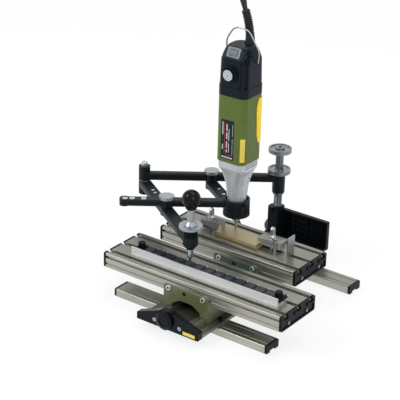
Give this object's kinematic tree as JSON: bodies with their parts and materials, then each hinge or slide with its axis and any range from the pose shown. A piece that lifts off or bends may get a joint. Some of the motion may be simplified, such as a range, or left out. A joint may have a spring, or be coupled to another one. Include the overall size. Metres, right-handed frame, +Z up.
{
  "type": "pantograph engraving machine",
  "caption": "Hand-guided two-to-one pantograph engraver: a stylus traced along template tiles moves an upright electric drill over a clamped plate on a slotted cross table.",
  "frame": {"origin": "middle of the underside of the front foot rail, on the beam's centre line", "axes": "+Y along the beam from the front plate to the column, +X to the operator's right, +Z up"},
  "size_m": [0.3182, 0.3834, 0.4688],
  "materials": {
    "anodised": "satin anodised",
    "black_plastic": "matte",
    "black_metal": "satin black",
    "green_metal": "satin enamel",
    "silver": "satin",
    "steel": "machined",
    "chrome": "polished",
    "brass": "brushed",
    "green_plastic": "fine texture",
    "yellow_plastic": "matte",
    "wood": "bare",
    "gloss_black": "gloss",
    "cord_rubber": "matte",
    "matte_grey": "matte"
  },
  "bodies": {
    "base": {"foot_rails": "anodised", "foot_rail_caps": "black_plastic", "base_beam": "anodised", "beam_bolts": "black_metal", "front_plate": "black_plastic", "front_plate_screws": "steel", "column_bracket": "black_metal", "bracket_bolts": "steel"},
    "front_saddle_body": {"front_saddle": "green_metal", "front_saddle_screws": "steel"},
    "front_table_body": {"front_table": "anodised", "front_table_caps": "black_plastic", "front_table_cap_screws": "chrome", "template_rail": "silver", "template_tiles": "black_plastic", "template_stops": "black_plastic", "template_stop_screws": "steel"},
    "rear_saddle_body": {"rear_saddle": "green_metal", "rear_saddle_screws": "steel"},
    "rear_table_body": {"rear_table": "anodised", "rear_table_caps": "black_plastic", "rear_table_cap_screws": "chrome", "brass_blank": "brass", "support_strip": "wood"},
    "clamp_left": {"clamp_bar_left": "steel", "clamp_screws_left": "steel"},
    "clamp_left_nut": {"clamp_nut_left": "steel"},
    "clamp_right": {"clamp_bar_right": "steel", "clamp_screws_right": "steel"},
    "clamp_right_nut": {"clamp_nut_right": "steel"},
    "stop": {"angle_stop": "steel", "angle_stop_screw": "steel"},
    "column": {"column_spindle": "steel"},
    "wheel": {"column_wheel": "silver"},
    "lock_disc": {"column_lock_disc": "silver"},
    "rear_arm_body": {"rear_arm": "black_metal", "pivot_a_hardware": "steel"},
    "left_link_body": {"left_link": "black_metal", "stylus_sleeve": "black_plastic"},
    "front_arm_body": {"front_arm": "black_metal", "drill_nose": "silver", "drill_body": "green_plastic", "drill_grip": "yellow_plastic", "drill_cap": "black_plastic", "switch_frame": "matte_grey", "cord_boot": "cord_rubber", "cord_lead": "cord_rubber", "cord_coil": "cord_rubber", "cord_plug": "cord_rubber", "plug_pins": "brass"},
    "right_link_body": {"right_link": "black_metal"},
    "thumb_b": {"thumb_screw_b": "silver"},
    "thumb_c": {"thumb_screw_c": "silver"},
    "stylus_disc_body": {"stylus_disc": "silver"},
    "stylus": {"stylus_rod": "silver", "stylus_ball": "gloss_black"},
    "spindle": {"drill_spindle": "steel"},
    "rocker": {"rocker_switch": "gloss_black"},
    "dial": {"speed_dial": "black_plastic"},
    "bail": {"drill_bail": "chrome"}
  },
  "joints": [
    {"name": "front_saddle_slide", "type": "slide", "parent": "base", "child": "front_saddle_body", "axis": [0, 1, 0], "range_m": [-0.018, 0.005]},
    {"name": "front_table_slide", "type": "slide", "parent": "front_saddle_body", "child": "front_table_body", "axis": [1, 0, 0], "range_m": [-0.06, 0.06]},
    {"name": "rear_saddle_slide", "type": "slide", "parent": "base", "child": "rear_saddle_body", "axis": [0, 1, 0], "range_m": [-0.005, 0.035]},
    {"name": "rear_table_slide", "type": "slide", "parent": "rear_saddle_body", "child": "rear_table_body", "axis": [1, 0, 0], "range_m": [-0.03, 0.018]},
    {"name": "clamp_left_slide", "type": "slide", "parent": "rear_table_body", "child": "clamp_left", "axis": [1, 0, 0], "range_m": [-0.025, 0.004]},
    {"name": "clamp_left_nut_turn", "type": "hinge", "parent": "clamp_left", "child": "clamp_left_nut", "pos_m": [-0.066, 0.1245, 0.08], "axis": [0, 0, 1], "range_deg": [-90, 90]},
    {"name": "clamp_right_slide", "type": "slide", "parent": "rear_table_body", "child": "clamp_right", "axis": [1, 0, 0], "range_m": [-0.01, 0.007]},
    {"name": "clamp_right_nut_turn", "type": "hinge", "parent": "clamp_right", "child": "clamp_right_nut", "pos_m": [0.0296, 0.1245, 0.08], "axis": [0, 0, 1], "range_deg": [-90, 90]},
    {"name": "angle_stop_slide", "type": "slide", "parent": "rear_table_body", "child": "stop", "axis": [1, 0, 0], "range_m": [-0.007, 0.004]},
    {"name": "column_lift", "type": "slide", "parent": "base", "child": "column", "axis": [0, 0, 1], "range_m": [0, 0.012]},
    {"name": "column_wheel_turn", "type": "hinge", "parent": "column", "child": "wheel", "pos_m": [-0.028, 0.223, 0.15], "axis": [0, 0, 1], "range_deg": [0, 2160.5]},
    {"name": "lock_disc_turn", "type": "hinge", "parent": "column", "child": "lock_disc", "pos_m": [-0.028, 0.223, 0.118], "axis": [0, 0, 1], "range_deg": [0, 90]},
    {"name": "rear_arm_swing", "type": "hinge", "parent": "column", "child": "rear_arm_body", "pos_m": [-0.028, 0.223, 0.108], "axis": [0, 0, 1], "range_deg": [-9, 17]},
    {"name": "left_link_swing", "type": "hinge", "parent": "rear_arm_body", "child": "left_link_body", "pos_m": [-0.1719, 0.11654, 0.097], "axis": [0, 0, 1], "range_deg": [-2.5, 15]},
    {"name": "front_arm_swing", "type": "hinge", "parent": "left_link_body", "child": "front_arm_body", "pos_m": [-0.09695, 0.06762, 0.108], "axis": [0, 0, 1], "range_deg": [-15.01, 2.51]},
    {"name": "right_link_swing", "type": "hinge", "parent": "rear_arm_body", "child": "right_link_body", "pos_m": [-0.09995, 0.16977, 0.097], "axis": [0, 0, 1], "range_deg": [-2.51, 15.01]},
    {"name": "thumb_screw_b_turn", "type": "hinge", "parent": "rear_arm_body", "child": "thumb_b", "pos_m": [-0.09995, 0.16977, 0.116], "axis": [0, 0, 1], "range_deg": [-90, 90]},
    {"name": "thumb_screw_c_turn", "type": "hinge", "parent": "front_arm_body", "child": "thumb_c", "pos_m": [-0.09695, 0.06762, 0.116], "axis": [0, 0, 1], "range_deg": [-90, 90]},
    {"name": "stylus_disc_turn", "type": "hinge", "parent": "left_link_body", "child": "stylus_disc_body", "pos_m": [-0.022, 0.0187, 0.116], "axis": [0, 0, 1], "range_deg": [-180, 180]},
    {"name": "stylus_lift", "type": "slide", "parent": "left_link_body", "child": "stylus", "axis": [0, 0, 1], "range_m": [0, 0.008]},
    {"name": "drill_spindle_spin", "type": "hinge", "parent": "front_arm_body", "child": "spindle", "pos_m": [-0.025, 0.12085, 0.1], "axis": [0, 0, 1], "continuous": true},
    {"name": "rocker_tilt", "type": "hinge", "parent": "front_arm_body", "child": "rocker", "pos_m": [-0.025, 0.1044, 0.31625], "axis": [0, 0.441, 0.8975], "range_deg": [0, 8]},
    {"name": "speed_dial_turn", "type": "hinge", "parent": "front_arm_body", "child": "dial", "pos_m": [-0.0266, 0.10385, 0.2894], "axis": [0, 1, 0], "range_deg": [-135, 135]},
    {"name": "bail_swing", "type": "hinge", "parent": "front_arm_body", "child": "bail", "pos_m": [-0.025, 0.12215, 0.3032], "axis": [1, 0, 0], "range_deg": [-1.5, 78]}
  ],
  "couplings": [
    {"joint": "column_wheel_turn", "follows": "column_lift", "rad_per_m": 3141.6},
    {"joint": "front_arm_swing", "follows": "left_link_swing", "ratio": -1},
    {"joint": "right_link_swing", "follows": "left_link_swing", "ratio": 1}
  ]
}
